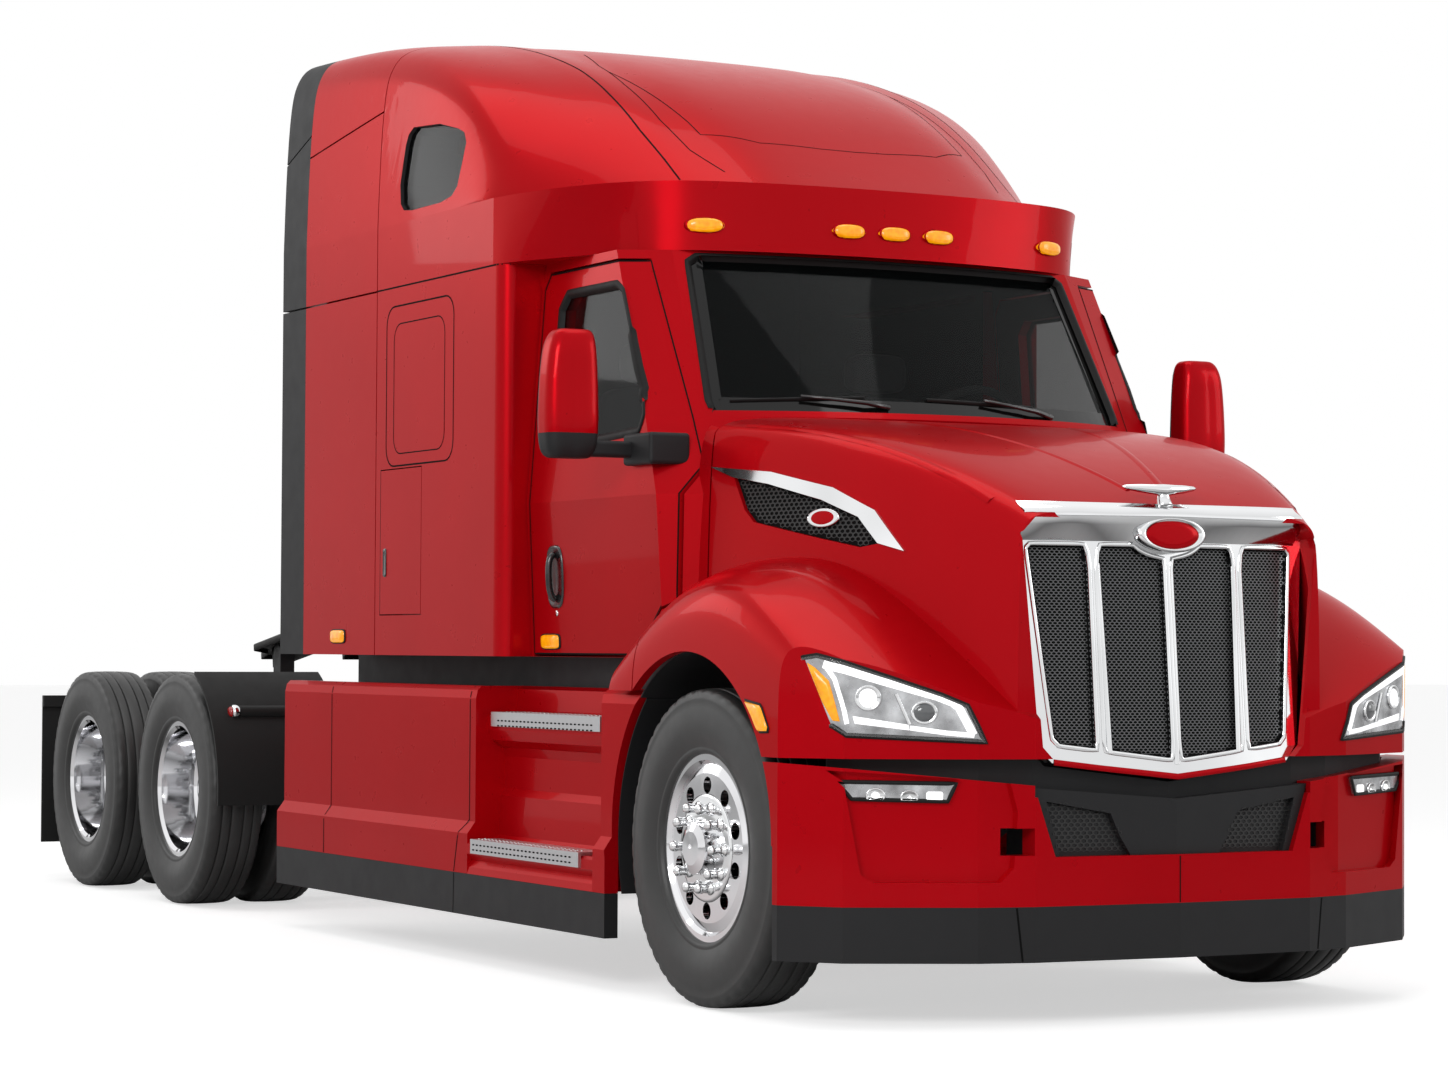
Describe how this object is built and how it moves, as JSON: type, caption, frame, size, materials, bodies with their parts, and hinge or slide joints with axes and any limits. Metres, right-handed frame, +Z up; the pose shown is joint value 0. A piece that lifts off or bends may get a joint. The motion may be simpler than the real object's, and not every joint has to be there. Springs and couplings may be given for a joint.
{
  "type": "semi truck tractor unit",
  "caption": "Conventional road tractor with a tilting hood, high-roof sleeper cab, tandem drive axles with twin wheels, side skirts and a fifth wheel.",
  "frame": {"origin": "on the ground under the middle of the vehicle's bounding box", "axes": "+X forward along the vehicle, +Y to its left, +Z up"},
  "size_m": [8.622, 3.0022, 3.89],
  "materials": {
    "paint": "gloss",
    "chassis_black": "satin",
    "cast": "satin",
    "dark_plastic": "matte",
    "bright": "polished",
    "polished": "polished",
    "plate": "brushed",
    "tread_rubber": "matte",
    "flap_rubber": "matte",
    "window": "gloss",
    "lens": "gloss",
    "amber": "gloss",
    "cabin": "matte",
    "upholstery": "matte"
  },
  "bodies": {
    "chassis": {"frame": "chassis_black", "front_axle": "cast", "drive_axles": "cast", "driveline": "cast", "engine": "cast", "radiator": "chassis_black", "cab_shell": "paint", "cowl_panels": "paint", "sleeper_shell": "paint", "roof_cap": "paint", "side_fairings": "paint", "fairing_edges": "dark_plastic", "windshield": "window", "sleeper_windows": "window", "dashboard": "cabin", "steering_wheel": "cabin", "seats": "upholstery", "bumper": "paint", "bumper_trim": "dark_plastic", "fog_lamps": "lens", "roof_lamps": "amber", "skirts": "paint", "skirt_trim": "dark_plastic", "step_treads": "plate", "rear_liners": "dark_plastic", "fuel_tanks": "plate", "mud_guards": "flap_rubber"},
    "hood": {"hood": "paint", "grille_frame": "bright", "grille_mesh": "dark_plastic", "vent_spears": "bright", "vent_screens": "dark_plastic", "headlamps": "lens", "arch_liners": "dark_plastic"},
    "fifth_wheel": {"fifth_wheel": "cast"},
    "tie_rod": {"tie_rod": "cast"},
    "door_left": {"door_left": "paint", "door_glass_left": "window", "mirror_left": "dark_plastic", "mirror_cap_left": "paint"},
    "baggage_door_left": {"baggage_door_left": "paint"},
    "knuckle_left": {"knuckle_left": "cast"},
    "front_wheel_left": {"front_tyre_left": "tread_rubber", "front_rim_left": "polished"},
    "forward_wheels_left": {"forward_tyres_left": "tread_rubber", "forward_rims_left": "polished"},
    "rear_wheels_left": {"rear_tyres_left": "tread_rubber", "rear_rims_left": "polished"},
    "door_right": {"door_right": "paint", "door_glass_right": "window", "mirror_right": "dark_plastic", "mirror_cap_right": "paint"},
    "baggage_door_right": {"baggage_door_right": "paint"},
    "knuckle_right": {"knuckle_right": "cast"},
    "front_wheel_right": {"front_tyre_right": "tread_rubber", "front_rim_right": "polished"},
    "forward_wheels_right": {"forward_tyres_right": "tread_rubber", "forward_rims_right": "polished"},
    "rear_wheels_right": {"rear_tyres_right": "tread_rubber", "rear_rims_right": "polished"}
  },
  "joints": [
    {"name": "hood_tilt", "type": "hinge", "parent": "chassis", "child": "hood", "pos_m": [4.301, 0, 0.748], "axis": [0, 1, 0], "range_deg": [0, 70]},
    {"name": "door_left_swing", "type": "hinge", "parent": "chassis", "child": "door_left", "pos_m": [2.696, 1.135, 1.96], "axis": [0, 0, -1], "range_deg": [0, 68]},
    {"name": "door_right_swing", "type": "hinge", "parent": "chassis", "child": "door_right", "pos_m": [2.696, -1.135, 1.96], "axis": [0, 0, 1], "range_deg": [0, 68]},
    {"name": "baggage_door_left_swing", "type": "hinge", "parent": "chassis", "child": "baggage_door_left", "pos_m": [0.751, 1.254, 1.675], "axis": [0, 0, -1], "range_deg": [0, 85]},
    {"name": "baggage_door_right_swing", "type": "hinge", "parent": "chassis", "child": "baggage_door_right", "pos_m": [0.751, -1.254, 1.675], "axis": [0, 0, 1], "range_deg": [0, 85]},
    {"name": "steering_left", "type": "hinge", "parent": "chassis", "child": "knuckle_left", "pos_m": [3.249, 0.93, 0.552], "axis": [0, 0, 1], "range_deg": [-36, 36]},
    {"name": "steering_right", "type": "hinge", "parent": "chassis", "child": "knuckle_right", "pos_m": [3.249, -0.93, 0.552], "axis": [0, 0, 1], "range_deg": [-36, 36]},
    {"name": "tie_rod_pivot", "type": "hinge", "parent": "knuckle_left", "child": "tie_rod", "pos_m": [3.049, 0.93, 0.43], "axis": [0, 0, 1], "range_deg": [-36, 36]},
    {"name": "front_wheel_left_spin", "type": "hinge", "parent": "knuckle_left", "child": "front_wheel_left", "pos_m": [3.249, 1.13, 0.552], "axis": [0, 1, 0], "continuous": true},
    {"name": "front_wheel_right_spin", "type": "hinge", "parent": "knuckle_right", "child": "front_wheel_right", "pos_m": [3.249, -1.13, 0.552], "axis": [0, 1, 0], "continuous": true},
    {"name": "forward_wheels_left_spin", "type": "hinge", "parent": "chassis", "child": "forward_wheels_left", "pos_m": [-2.181, 0.9835, 0.552], "axis": [0, 1, 0], "continuous": true},
    {"name": "forward_wheels_right_spin", "type": "hinge", "parent": "chassis", "child": "forward_wheels_right", "pos_m": [-2.181, -0.9835, 0.552], "axis": [0, 1, 0], "continuous": true},
    {"name": "rear_wheels_left_spin", "type": "hinge", "parent": "chassis", "child": "rear_wheels_left", "pos_m": [-3.581, 0.9835, 0.552], "axis": [0, 1, 0], "continuous": true},
    {"name": "rear_wheels_right_spin", "type": "hinge", "parent": "chassis", "child": "rear_wheels_right", "pos_m": [-3.581, -0.9835, 0.552], "axis": [0, 1, 0], "continuous": true},
    {"name": "fifth_wheel_tilt", "type": "hinge", "parent": "chassis", "child": "fifth_wheel", "pos_m": [-3.081, 0, 1.2], "axis": [0, 1, 0], "range_deg": [0, 16]}
  ],
  "couplings": [
    {"joint": "steering_right", "follows": "steering_left", "ratio": 1},
    {"joint": "tie_rod_pivot", "follows": "steering_left", "ratio": -1}
  ]
}
